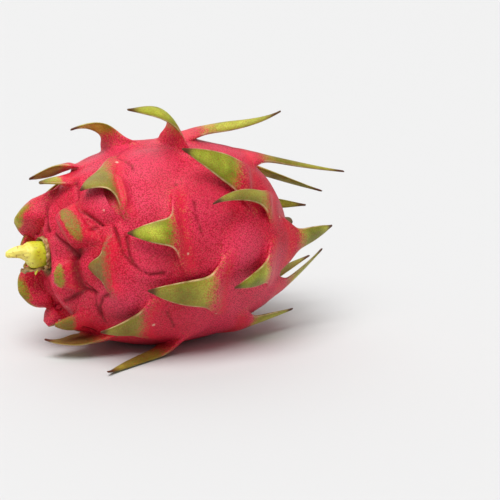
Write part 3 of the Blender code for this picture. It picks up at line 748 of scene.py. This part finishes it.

# %% [markdown]
# ## Masks for the colours
# The colours follow the growth: the blades turn from rind red to green, then to a dry maroon tip. Their
# rims are thin and corky, and their undersides redder. On a thick scale only the outer side turns green.
# The skin is a clearer red at the foot of a scale. On the pillows a paler pink is painted on as a highlight,
# and in the furrows a deeper red is painted on as shade. Each of these is written on the mesh as a number
# between 0 and 1, so the finish can follow the shape exactly.

# %% Write the masks
patchy = noise_at(rind_points, 0.006, 4)
green = read_layer(rind_mesh, "green")
plump = read_layer(rind_mesh, "plump")
outer = read_layer(rind_mesh, "outer")
starts = 0.18 * green - 0.12 + 0.24 * plump
ends = starts + 0.36
greenness = ramp(blade + 0.05 * patchy, starts, ends) * (blade > 0.01)
fleshy_side = ramp(-outer, -0.9, -0.1) * ramp(plump, 0.3, 0.8)
fleshy_side = fleshy_side * (1 - ramp(blade, 0.70, 0.95) * ramp(green, 0.85, 0.95))
rim = ramp(across, 0.88, 0.99) * ramp(blade, 0.08, 0.16) * ramp(outer, 0.1, 0.8)
inner = ramp(-outer, -0.2, 0.6) * ramp(blade, 0.05, 0.2)
write_layer(rind_mesh, "greenness", greenness * (1 - fleshy_side) * (1 - 0.25 * plump))
write_layer(rind_mesh, "olive", np.clip(1 - green, 0, 1))
write_layer(rind_mesh, "tip", ramp(blade + 0.04 * patchy, 0.80, 0.95) * (1 - ramp(plump, 0.1, 0.5)))
write_layer(rind_mesh, "rim", rim * (1 - ramp(plump, 0.0, 0.6)))
# the blade's sides: a darker green, partly the leaf's own margin and partly painted shade
write_layer(rind_mesh, "edge", ramp(across, 0.35, 0.95) * ramp(blade, 0.12, 0.35))
write_layer(rind_mesh, "inner", inner * (1 - plump) * (1.2 - green))
# the pillows' mask, for a paler pink painted on as a highlight
write_layer(rind_mesh, "pillow_highlight", pillow_highlight * skin_here)
write_layer(rind_mesh, "crest", crest * (1 - ramp(blade, 0.15, 0.4)))
# the furrows' mask, for a deep red painted on as shade
write_layer(rind_mesh, "furrow_shade", furrow_shade * skin_here)
write_layer(rind_mesh, "navel", ramp(hollow, 0.05, 0.5))
write_layer(rind_mesh, "socket", ramp(-hollow, 0.05, 0.5))
for name in LAYERS:
    rind_mesh.attributes.remove(rind_mesh.attributes[name])

rind_mesh.shade_smooth()
rind = bpy.data.objects.new("rind_with_scales", rind_mesh)
bpy.context.scene.collection.objects.link(rind)
print("share of the rind that is green:", round(float(greenness.mean()), 2))

# %% [markdown]
# ## Stump of the stem
# The fruit was twisted off its plant, so a short round stump is left in the socket. It could be carved, but
# a stack of rings is simpler: each ring has a place and two radii, and neighbours are joined. The same
# helper later makes the dried flower.

# %% Helper: a closed form through rings
def ringed_mesh(name, rings, sides):
    """Closed mesh through rings of (x, y, z centre, radius across, radius up)."""
    form = bmesh.new()
    old = None
    for x, y, z, wide, high in rings:
        angles = [2 * math.pi * k / sides for k in range(sides)]
        circle = lay_down([(x, y - wide * math.sin(a), z + high * math.cos(a)) for a in angles])
        new = [form.verts.new(p) for p in circle]
        if old:
            for k in range(sides):
                n = (k + 1) % sides
                form.faces.new((old[k], old[n], new[n], new[k]))
        else:
            form.faces.new(new[::-1])
        old = new
    form.faces.new(old)
    bmesh.ops.recalc_face_normals(form, faces=form.faces)
    mesh = bpy.data.meshes.new(name)
    form.to_mesh(mesh)
    form.free()
    return mesh


def put_in_scene(name, mesh):
    mesh.shade_smooth()
    thing = bpy.data.objects.new(name, mesh)
    bpy.context.scene.collection.objects.link(thing)
    return thing


print("ring helper ready")

# %% [markdown]
# ## Collar and tongue
# The collar is a plain round, a little wider than its root. At the torn end the rings shrink to one side,
# which leaves one long tongue, and a short tooth hangs from the collar's lower edge.

# %% Sizes of the stump
STUB_SINK = 0.0008           # how deep the stump's root stands in the socket's floor
STUB_PROUD = 0.00525         # how far the collar stands out of the socket
STUB_FLOOR = -0.5 * BODY_LENGTH + SOCKET_DEPTH - STUB_SINK
STUB_RADIUS = 0.84 * SOCKET_RADIUS
STUB_END = STUB_FLOOR - SOCKET_DEPTH - STUB_PROUD
TONGUE = 0.0090
stub_rings = [
    (STUB_END - TONGUE, 0, 0.0014, 0.0009, 0.0010),
    (STUB_END - 0.85 * TONGUE, 0, 0.0017, 0.0014, 0.0016),
    (STUB_END - 0.60 * TONGUE, 0, 0.0020, 0.0020, 0.0021),
    (STUB_END - 0.30 * TONGUE, 0, 0.0018, 0.0028, 0.0027),
    (STUB_END - 0.10 * TONGUE, 0, 0.0012, 0.66 * STUB_RADIUS, 0.62 * STUB_RADIUS),
    (STUB_END - 0.04 * TONGUE, 0, 0.0004, 0.98 * STUB_RADIUS, 0.96 * STUB_RADIUS),
    (STUB_END + 0.0012, 0, 0, 1.06 * STUB_RADIUS, 1.06 * STUB_RADIUS),
    (STUB_END + 0.0035, 0, 0, 1.06 * STUB_RADIUS, 1.06 * STUB_RADIUS),
    (STUB_END + 0.0060, 0, 0, 1.00 * STUB_RADIUS, 1.00 * STUB_RADIUS),
    (STUB_FLOOR, 0, 0, 0.80 * STUB_RADIUS, 0.80 * STUB_RADIUS),
]
tooth_rings = [
    (STUB_END + 0.0016, -0.0020, -0.0072, 0.0006, 0.0006),
    (STUB_END + 0.0020, -0.0018, -0.0062, 0.0012, 0.0011),
    (STUB_END + 0.0026, -0.0012, -0.0048, 0.0020, 0.0016),
    (STUB_END + 0.0034, 0, -0.0030, 0.0024, 0.0020),
]
print("stump radius and tongue, mm:", round(1000 * STUB_RADIUS, 2), 1000 * TONGUE)

# %% [markdown]
# ## Papery skin round the stump
# The skin that tore with the stem has dried to brown paper: a ragged ring round the collar's root and one
# strip under the tongue. Both are ringed forms too, crumpled by a fine noise.

# %% Sizes of the papery ring and strip
paper_rings = [
    (STUB_END + 0.0092, 0, 0, 0.5 * STUB_RADIUS, 0.5 * STUB_RADIUS),
    (STUB_END + 0.0074, 0, 0, 1.10 * STUB_RADIUS, 1.10 * STUB_RADIUS),
    (STUB_END + 0.0048, 0, 0, 1.22 * STUB_RADIUS, 1.22 * STUB_RADIUS),
    (STUB_END + 0.0050, 0, 0, 1.30 * STUB_RADIUS, 1.30 * STUB_RADIUS),
    (STUB_END + 0.0080, 0, 0, 1.20 * STUB_RADIUS, 1.20 * STUB_RADIUS),
    (STUB_END + 0.0098, 0, 0, 0.5 * STUB_RADIUS, 0.5 * STUB_RADIUS),
]
strip_rings = [
    (STUB_END - 0.0030, 0.0010, -0.0062, 0.0006, 0.0004),
    (STUB_END - 0.0022, 0.0008, -0.0060, 0.0020, 0.0006),
    (STUB_END + 0.0010, 0, -0.0054, 0.0030, 0.0007),
    (STUB_END + 0.0050, 0, -0.0046, 0.0028, 0.0008),
    (STUB_END + 0.0080, 0, -0.0036, 0.0020, 0.0010),
]
CRUMPLE = 0.0011
print("papery ring radius, mm:", round(1300 * STUB_RADIUS, 1))

# %% [markdown]
# ## Putting the stump together
# The four forms are softened, marked as flesh or paper, and joined in one mesh. Fine ridges along the torn
# end stand for fibres.

# %% Build the stump
def join_meshes(name, meshes):
    form = bmesh.new()
    for mesh in meshes:
        form.from_mesh(mesh)
    whole = bpy.data.meshes.new(name)
    form.to_mesh(whole)
    form.free()
    return whole


stub_parts = []
for rings, sides, paper in (
    (stub_rings, 14, 0.0),
    (tooth_rings, 8, 0.0),
    (paper_rings, 26, 1.0),
    (strip_rings, 12, 1.0),
):
    rings = [(x, y, z + STEM_RISE, wide, high) for x, y, z, wide, high in rings]
    part = soften(ringed_mesh("stump part", rings, sides), 3 - int(paper))
    points = read_points(part)
    ragged = CRUMPLE * paper * noise_at(points, 0.0016, 12)
    write_points(part, points + read_normals(part) * ragged[:, None])
    write_layer(part, "paper", np.full(len(points), paper))
    stub_parts.append(part)
stub_mesh = join_meshes("stump", stub_parts)
stub_points = read_points(stub_mesh)
torn = ramp(STUB_END + 0.002 - stub_points[:, 0], 0, 0.004)
lumps = 0.00025 * noise_at(stub_points, 0.003, 6)
fibres = 0.0003 * torn * noise_at(stub_points * [0.25, 1, 1], 0.001, 7)
write_points(stub_mesh, stub_points + read_normals(stub_mesh) * (lumps + fibres)[:, None])
write_layer(stub_mesh, "torn", torn)
stub = put_in_scene("stem_stump", stub_mesh)
print("stump faces:", len(stub_mesh.polygons))

# %% [markdown]
# ## Dried rest of the flower
# In the navel the flower has dried to a small dark tuft. It is one closed form through five rings that
# narrow and lean to one side, and a noise drawn out along the axis gives it long folds.

# %% Build the dried flower
REMNANT_FLOOR = 0.5 * BODY_LENGTH - NAVEL_DEPTH + 0.0008
remnant_rings = [
    (REMNANT_FLOOR, 0, 0, 0.0035, 0.0035),
    (REMNANT_FLOOR + 0.0038, 0, 0, 0.0047, 0.0047),
    (REMNANT_FLOOR + 0.0080, 0.0004, 0, 0.0034, 0.0032),
    (REMNANT_FLOOR + 0.0120, 0.0010, 0.0004, 0.0036, 0.0021),
    (REMNANT_FLOOR + 0.0150, 0.0014, 0.0008, 0.0020, 0.0009),
]
remnant_mesh = soften(ringed_mesh("dried flower", remnant_rings, 12), 3)
remnant_points = read_points(remnant_mesh)
folds = 0.0007 * noise_at(remnant_points * [0.35, 1, 1], 0.0022, 8)
write_points(remnant_mesh, remnant_points + read_normals(remnant_mesh) * folds[:, None])
remnant = put_in_scene("dried_flower", remnant_mesh)
print("dried flower faces:", len(remnant_mesh.polygons))

# %% [markdown]
# ## Finishes
# Each finish is a small tree of nodes. A few helpers keep the trees short: one adds a node and sets its
# sockets, one mixes two colours by a mask and one reads a mask from the mesh.

# %% Helpers for node trees
def add_node(tree, kind, values=None, **settings):
    node = tree.nodes.new(kind)
    for key, value in settings.items():
        setattr(node, key, value)
    for key, value in (values or {}).items():
        socket = node.inputs[key]
        if isinstance(value, bpy.types.NodeSocket):
            tree.links.new(value, socket)
        else:
            socket.default_value = value
    return node


def mix_colours(tree, mask, first, second):
    node = add_node(tree, "ShaderNodeMix", data_type="RGBA")
    for socket, value in ((node.inputs[0], mask), (node.inputs[6], first), (node.inputs[7], second)):
        if isinstance(value, bpy.types.NodeSocket):
            tree.links.new(value, socket)
        elif isinstance(value, (tuple, list)):
            socket.default_value = (*value, 1.0)
        else:
            socket.default_value = value
    return node.outputs[2]


def weaker(tree, mask, share):
    return add_node(tree, "ShaderNodeMath", {0: mask, 1: share}, operation="MULTIPLY").outputs[0]


def spread(tree, value, low, high, to_low=0.0, to_high=1.0):
    values = {0: value, 1: low, 2: high, 3: to_low, 4: to_high}
    return add_node(tree, "ShaderNodeMapRange", values).outputs[0]


def noise_node(tree, place, scale, detail):
    values = {"Vector": place, "Scale": scale, "Detail": detail}
    return add_node(tree, "ShaderNodeTexNoise", values).outputs[0]


def mask_layer(tree, name):
    return add_node(tree, "ShaderNodeAttribute", attribute_name=name).outputs["Fac"]


def new_finish(name):
    material = bpy.data.materials.new(name)
    material.use_nodes = True
    tree = material.node_tree
    return material, tree, tree.nodes["Principled BSDF"]


def place_of(tree):
    return add_node(tree, "ShaderNodeTexCoord").outputs["Object"]


# %% [markdown]
# ## Pebbled skin
# Close up, the rind is covered in tiny pebbles with darker gaps between them. They are one node group, so
# that the rind's tree stays readable: a place and a size go in, and a height, a mask of the gaps and a
# value for each pebble come out.

# %% The pebble group
PEBBLES_PER_METRE = 1900.0


def build_pebbles():
    group = bpy.data.node_groups.new("pebbles", "ShaderNodeTree")
    face = group.interface
    face.new_socket("Place", in_out="INPUT", socket_type="NodeSocketVector")
    size = face.new_socket("Cells per metre", in_out="INPUT", socket_type="NodeSocketFloat")
    size.default_value = PEBBLES_PER_METRE
    for name in ("Height", "Gaps", "Tint"):
        face.new_socket(name, in_out="OUTPUT", socket_type="NodeSocketFloat")
    start = group.nodes.new("NodeGroupInput")
    end = group.nodes.new("NodeGroupOutput")
    values = {"Vector": start.outputs[0], "Scale": start.outputs[1], "Randomness": 0.9}
    cells = add_node(group, "ShaderNodeTexVoronoi", values, feature="F1")
    rounded = spread(group, cells.outputs["Distance"], 0.15, 0.75, 1.0, 0.0)
    gaps = spread(group, cells.outputs["Distance"], 0.38, 0.70)
    tint = add_node(group, "ShaderNodeSeparateColor", {0: cells.outputs["Color"]}).outputs[0]
    for value, socket in zip((rounded, gaps, tint), end.inputs):
        group.links.new(value, socket)
    return group


pebbles = build_pebbles()


def add_pebbles(tree, place):
    node = tree.nodes.new("ShaderNodeGroup")
    node.node_tree = pebbles
    tree.links.new(place, node.inputs[0])
    node.inputs[1].default_value = PEBBLES_PER_METRE
    return node.outputs


print("pebble size, mm:", round(1000 / PEBBLES_PER_METRE, 2))

# %% [markdown]
# ## Reds of the skin
# No living skin is one colour. Two slow noises shift the red a little from place to place. The pebbles then
# speckle it, lighter on some pebbles and deeper in the gaps. Over that the masks lay a paler pink on the
# pillows as a painted highlight, the clear red at the feet of the scales, and a deep red in the furrows as
# painted shade.

# %% Red colours
def broad_noise(tree, place):
    values = {"Vector": place, "Scale": 90.0, "Detail": 3.0, "Roughness": 0.55}
    return add_node(tree, "ShaderNodeTexNoise", values).outputs[0]


def skin_reds(tree, place, pebble):
    patches = spread(tree, broad_noise(tree, place), 0.38, 0.62)
    slow_patches = spread(tree, noise_node(tree, place, 28.0, 2.0), 0.40, 0.62)
    red = mix_colours(tree, patches, (0.62, 0.006, 0.026), (0.76, 0.016, 0.052))
    red = mix_colours(tree, slow_patches, red, (0.86, 0.050, 0.125))
    lighter = mix_colours(tree, 0.7, red, (0.98, 0.055, 0.140))
    colour = mix_colours(tree, weaker(tree, pebble["Tint"], 0.6), red, lighter)
    for mask, share, over in (
        (pebble["Gaps"], 0.75, (0.36, 0.001, 0.010)),
        # painted highlight: a paler pink on the pillows
        (mask_layer(tree, "pillow_highlight"), 0.14, (0.96, 0.10, 0.19)),
        (mask_layer(tree, "crest"), 0.6, (0.82, 0.012, 0.040)),
        # painted shade: a deep red in the furrows
        (mask_layer(tree, "furrow_shade"), 0.9, (0.20, 0.001, 0.007)),
    ):
        colour = mix_colours(tree, weaker(tree, mask, share), colour, over)
    return colour


print("skin reds ready")

# %% [markdown]
# ## Greens of the blades
# A blade is a leaf, so it is green where it is fresh and olive brown where it has aged. Which of the two it
# is comes from the list of scales, where the duller olive of belly_e is painted shade. Both vary from patch to
# patch. The sides are darker, partly as the leaf's own margin and partly as painted shade where they turn from
# the light. The underside is redder, and the pebbles of the skin run on over the blade as faint red dots.

# %% Green colours
def leaf_greens(tree, place, pebble, grain):
    patches = spread(tree, noise_node(tree, place, 75.0, 2.0), 0.36, 0.64)
    fresh = mix_colours(tree, patches, (0.14, 0.23, 0.004), (0.80, 0.86, 0.090))
    fresh = mix_colours(tree, weaker(tree, grain, 0.5), fresh, (0.36, 0.40, 0.020))
    dull = mix_colours(tree, grain, (0.13, 0.085, 0.022), (0.34, 0.25, 0.070))
    leaf = mix_colours(tree, mask_layer(tree, "olive"), fresh, dull)
    for mask, share, over in (
        # darker sides: partly the leaf's own margin, partly painted shade
        (mask_layer(tree, "edge"), 0.6, (0.22, 0.23, 0.008)),
        (pebble["Gaps"], 0.35, (0.22, 0.05, 0.015)),
        (mask_layer(tree, "inner"), 0.7, (0.15, 0.030, 0.018)),
    ):
        leaf = mix_colours(tree, weaker(tree, mask, share), leaf, over)
    return leaf


print("leaf greens ready")

# %% [markdown]
# ## Where the green begins
# Red does not turn to green along a line. It breaks up into dots first, pebble by pebble. So each pebble's
# own value is added to the mask before the mask is sharpened.

# %% Speckled edge of the green
def speckled_growth(tree, pebble):
    dots = add_node(tree, "ShaderNodeMath", {0: pebble["Tint"], 1: 0.5, 2: -0.25}, operation="MULTIPLY_ADD")
    values = {0: mask_layer(tree, "greenness"), 1: dots.outputs[0]}
    growing = add_node(tree, "ShaderNodeMath", values, operation="ADD")
    return spread(tree, growing.outputs[0], 0.10, 0.90)


print("edge of the green ready")

# %% [markdown]
# ## Finish of the rind
# The waxy skin is only a little shiny, and its gloss is broad and soft, so a thin rough coat lies over a
# dull base. The colours are laid on in the order in which they grow: red skin, green blades, corky rims,
# dry tips, a few cream specks, and the linings of the two hollows.

# %% Rind finish
def build_rind_finish():
    material, tree, shader = new_finish("waxy rind")
    place = place_of(tree)
    pebble = add_pebbles(tree, place)
    grain = noise_node(tree, place, 260.0, 3.0)
    leaf = leaf_greens(tree, place, pebble, grain)
    colour = mix_colours(tree, speckled_growth(tree, pebble), skin_reds(tree, place, pebble), leaf)
    cork = mix_colours(tree, spread(tree, grain, 0.30, 0.62), (0.20, 0.050, 0.020), (0.80, 0.55, 0.30))
    colour = mix_colours(tree, weaker(tree, mask_layer(tree, "rim"), 0.85), colour, cork)
    colour = mix_colours(tree, weaker(tree, mask_layer(tree, "tip"), 0.9), colour, (0.085, 0.014, 0.012))
    specks = add_node(tree, "ShaderNodeTexVoronoi", {"Vector": place, "Scale": 95.0}, feature="F1")
    speck = spread(tree, specks.outputs["Distance"], 0.045, 0.075, 0.8, 0.0)
    colour = mix_colours(tree, speck, colour, (0.85, 0.55, 0.40))
    fibres = noise_node(tree, place, 700.0, 4.0)
    lining = mix_colours(tree, fibres, (0.55, 0.38, 0.16), (0.85, 0.74, 0.48))
    colour = mix_colours(tree, mask_layer(tree, "navel"), colour, lining)
    bark = mix_colours(tree, fibres, (0.20, 0.10, 0.04), (0.45, 0.30, 0.12))
    colour = mix_colours(tree, mask_layer(tree, "socket"), colour, bark)
    tree.links.new(colour, shader.inputs["Base Color"])
    rough = spread(tree, broad_noise(tree, place), 0.3, 0.7, 0.36, 0.50)
    tree.links.new(rough, shader.inputs["Roughness"])
    shader.inputs["Specular IOR Level"].default_value = 0.12
    shader.inputs["Specular Tint"].default_value = (1.0, 0.55, 0.60, 1.0)
    shader.inputs["Coat Weight"].default_value = 0.24
    shader.inputs["Coat Roughness"].default_value = 0.45
    values = {"Height": pebble["Height"], "Strength": 0.55, "Distance": 0.00030}
    tree.links.new(add_node(tree, "ShaderNodeBump", values).outputs[0], shader.inputs["Normal"])
    return material


rind_mesh.materials.append(build_rind_finish())
print("rind finish built")

# %% [markdown]
# ## Finish of the stump and of the dried flower
# The torn stem is juicy yellow-green outside and a warmer yellow where it tore, with a few brown flecks
# where it has begun to dry. The paper round it and the dried flower are dull browns. A mask chooses between
# flesh and paper, so one material serves the whole stump.

# %% Stump and dried flower finishes
def build_stump_finish():
    material, tree, shader = new_finish("torn stem")
    place = place_of(tree)
    grain = noise_node(tree, place, 500.0, 3.0)
    outside = mix_colours(tree, grain, (0.46, 0.52, 0.010), (0.80, 0.76, 0.050))
    torn_colour = mix_colours(tree, grain, (0.80, 0.64, 0.085), (0.94, 0.84, 0.19))
    colour = mix_colours(tree, mask_layer(tree, "torn"), outside, torn_colour)
    flecks = spread(tree, noise_node(tree, place, 900.0, 2.0), 0.58, 0.68, 0.0, 0.7)
    colour = mix_colours(tree, flecks, colour, (0.38, 0.20, 0.02))
    papery = mix_colours(tree, grain, (0.10, 0.035, 0.010), (0.66, 0.45, 0.16))
    colour = mix_colours(tree, mask_layer(tree, "paper"), colour, papery)
    tree.links.new(colour, shader.inputs["Base Color"])
    shader.inputs["Roughness"].default_value = 0.45
    values = {"Height": grain, "Strength": 0.3, "Distance": 0.0004}
    tree.links.new(add_node(tree, "ShaderNodeBump", values).outputs[0], shader.inputs["Normal"])
    return material


def build_dry_finish():
    material, tree, shader = new_finish("dried flower brown")
    grain = noise_node(tree, place_of(tree), 450.0, 4.0)
    colour = mix_colours(tree, grain, (0.05, 0.025, 0.012), (0.26, 0.15, 0.06))
    tree.links.new(colour, shader.inputs["Base Color"])
    shader.inputs["Roughness"].default_value = 0.8
    return material


stub_mesh.materials.append(build_stump_finish())
remnant_mesh.materials.append(build_dry_finish())
print("stump and dried flower finishes built")

# %% [markdown]
# ## Handing the pieces over
# Each visual piece rides on the fruit's one body and takes the place of its engineering twin.

# %% Tie the pieces to the engineering model
for piece, node, finish in (
    (rind, "fruit", "rind"),
    (stub, "stem_stub", "stem"),
    (remnant, "flower_remnant", "dry_flower"),
):
    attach(piece, "root")
    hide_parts(node)
    print(piece.name, "takes the place of", node)

# %% [markdown]
# ## The table
# A plain pale table reaches so far that no edge shows behind the fruit. One flat face is enough, and a dull
# finish keeps the shadow soft.

# %% The table
TABLE_HALF = 12.0


def build_stage():
    corners = [(-TABLE_HALF, -TABLE_HALF, 0), (TABLE_HALF, -TABLE_HALF, 0)]
    corners = corners + [(TABLE_HALF, TABLE_HALF, 0), (-TABLE_HALF, TABLE_HALF, 0)]
    mesh = bpy.data.meshes.new("pale table")
    mesh.from_pydata(corners, [], [(0, 1, 2, 3)])
    material, tree, shader = new_finish("pale table")
    shader.inputs["Base Color"].default_value = (0.645, 0.645, 0.645, 1.0)
    shader.inputs["Roughness"].default_value = 0.9
    shader.inputs["Specular IOR Level"].default_value = 0.1
    mesh.materials.append(material)
    table = bpy.data.objects.new("pale_table", mesh)
    bpy.context.scene.collection.objects.link(table)
    table.rotation_euler[2] = math.radians(-27)


build_stage()
print("table side, m:", 2 * TABLE_HALF)

# %% [markdown]
# ## The light
# Soft daylight from a large window overhead is what shows a waxy skin best. A sun lamp with a wide angle
# gives that softness without noise. A weaker one behind keeps the far scales clear, and a pale world fills
# the shadows.

# %% The light
def build_sun(name, strength, place, angle):
    light = bpy.data.lights.new(name, "SUN")
    light.energy = strength
    light.angle = math.radians(angle)
    lamp = bpy.data.objects.new(name, light)
    lamp.location = place
    lamp.rotation_euler = (-Vector(place)).to_track_quat("-Z", "Y").to_euler()
    bpy.context.scene.collection.objects.link(lamp)


build_sun("overhead", 3.15, (-0.35, -0.30, 1.0), 45)
build_sun("behind", 0.80, (0.15, 1.0, 0.9), 60)
world = bpy.data.worlds.new("pale room")
bpy.context.scene.world = world
world.use_nodes = True
world.node_tree.nodes["Background"].inputs["Color"].default_value = (1.0, 1.0, 1.0, 1.0)
world.node_tree.nodes["Background"].inputs["Strength"].default_value = 0.30
bpy.context.scene.view_settings.view_transform = "Standard"
bpy.context.scene.view_settings.look = "None"
print("lights placed")

# %% [markdown]
# ## Camera
# The camera looks down a little and from the stem end's side, with a long lens, which keeps the fruit's
# proportions true. It stands a little aside of and below the line to the fruit's centre, so the fruit sits
# left in the frame.

# %% Place the camera
AZIMUTH = math.radians(-27)
ELEVATION = math.radians(14)
DISTANCE = 0.75
LENS = 137.7                 # mm, on a sensor 36 mm wide
ASIDE = 0.0341176
BELOW = 0.0033333
back = Vector(
    (math.sin(AZIMUTH) * math.cos(ELEVATION), -math.cos(AZIMUTH) * math.cos(ELEVATION), math.sin(ELEVATION))
)
right = Vector((math.cos(AZIMUTH), math.sin(AZIMUTH), 0))
up = back.cross(right)
eye = Vector((0, 0, CENTRE_HEIGHT)) + back * DISTANCE
eye = eye + right * ASIDE - up * BELOW
camera_data = bpy.data.cameras.new("camera")
camera_data.sensor_width = 36.0
camera_data.lens = LENS
camera = bpy.data.objects.new("camera", camera_data)
camera.location = eye
camera.rotation_euler = back.to_track_quat("Z", "Y").to_euler()
bpy.context.scene.collection.objects.link(camera)
bpy.context.scene.camera = camera
print("lens, mm:", round(camera_data.lens, 1))
